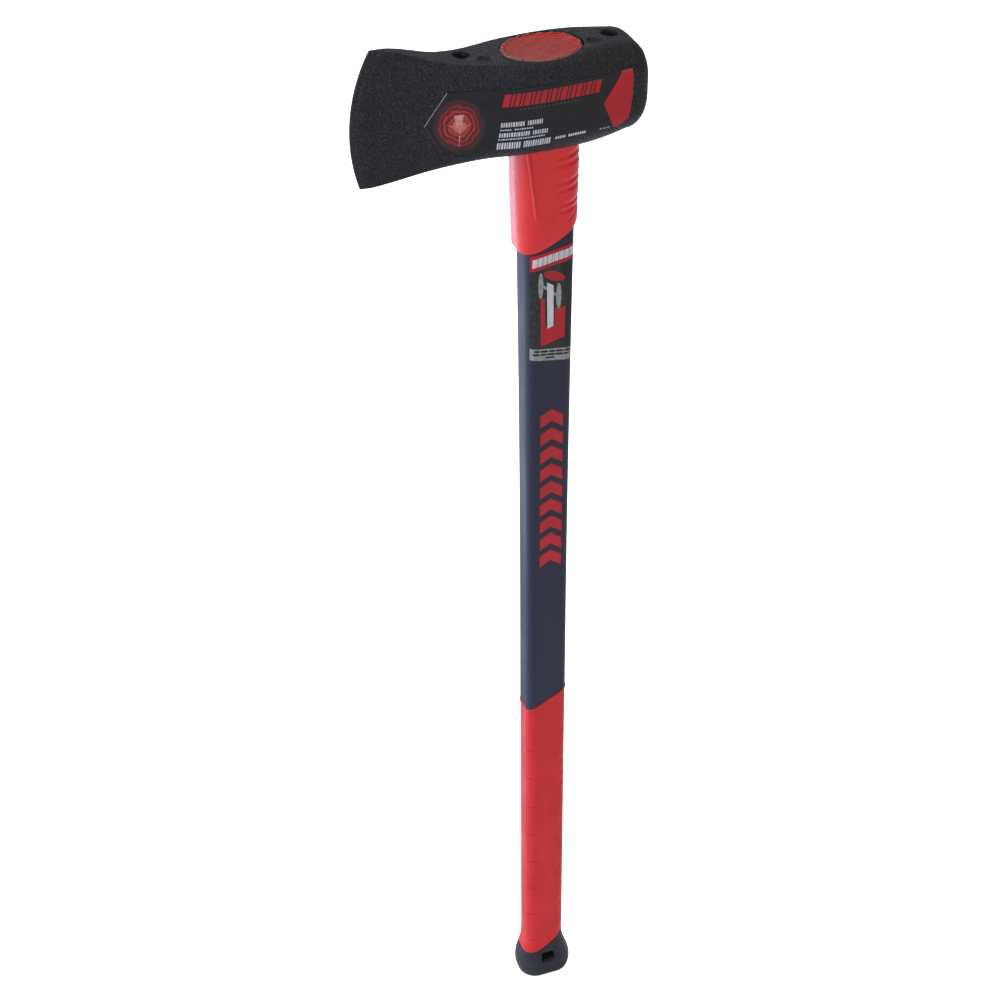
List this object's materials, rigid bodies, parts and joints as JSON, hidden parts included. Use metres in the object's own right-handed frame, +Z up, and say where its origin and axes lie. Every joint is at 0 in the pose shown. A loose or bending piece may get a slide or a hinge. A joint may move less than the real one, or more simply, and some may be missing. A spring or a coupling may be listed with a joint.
{
  "type": "splitting maul",
  "caption": "Splitting maul with a forged wedge head, a slanted red collar, a jacketed fibreglass handle, a grooved red grip and a flared end cap.",
  "frame": {"origin": "on the handle axis, in the flat bottom of the end cap", "axes": "+Z up the handle to the head, -X towards the cutting edge, +X towards the poll, +Y across the cheeks"},
  "size_m": [0.2063, 0.0623, 0.9137],
  "materials": {
    "head_coat": "black rough coat over forged steel, fine cast texture",
    "epoxy": "tan cured adhesive, ragged bead",
    "red_gloss": "glossy moulded red",
    "red_resin": "dull poured red resin",
    "fibreglass": "pultruded glass fibre, off white",
    "anchor_steel": "plain cut steel",
    "jacket_blue_grey": "satin blue-grey moulding",
    "grip_red": "satin moulded red with a fine grain",
    "cap_rubber": "dark blue-black rubber, slightly worn",
    "label_dark": "printed film",
    "motif_red": "red transfer print"
  },
  "bodies": {
    "root": {"maul_head": "head_coat", "epoxy_bond": "epoxy", "overstrike_collar": "red_gloss", "eye_fill": "red_resin", "fibreglass_core": "fibreglass", "anchor_pin": "anchor_steel", "anchor_plate_bit": "anchor_steel", "anchor_plate_poll": "anchor_steel", "shaft_jacket": "jacket_blue_grey", "grip_sleeve": "grip_red", "end_cap": "cap_rubber", "head_label": "label_dark", "shaft_label": "label_dark", "shaft_motif": "motif_red"}
  },
  "joints": []
}
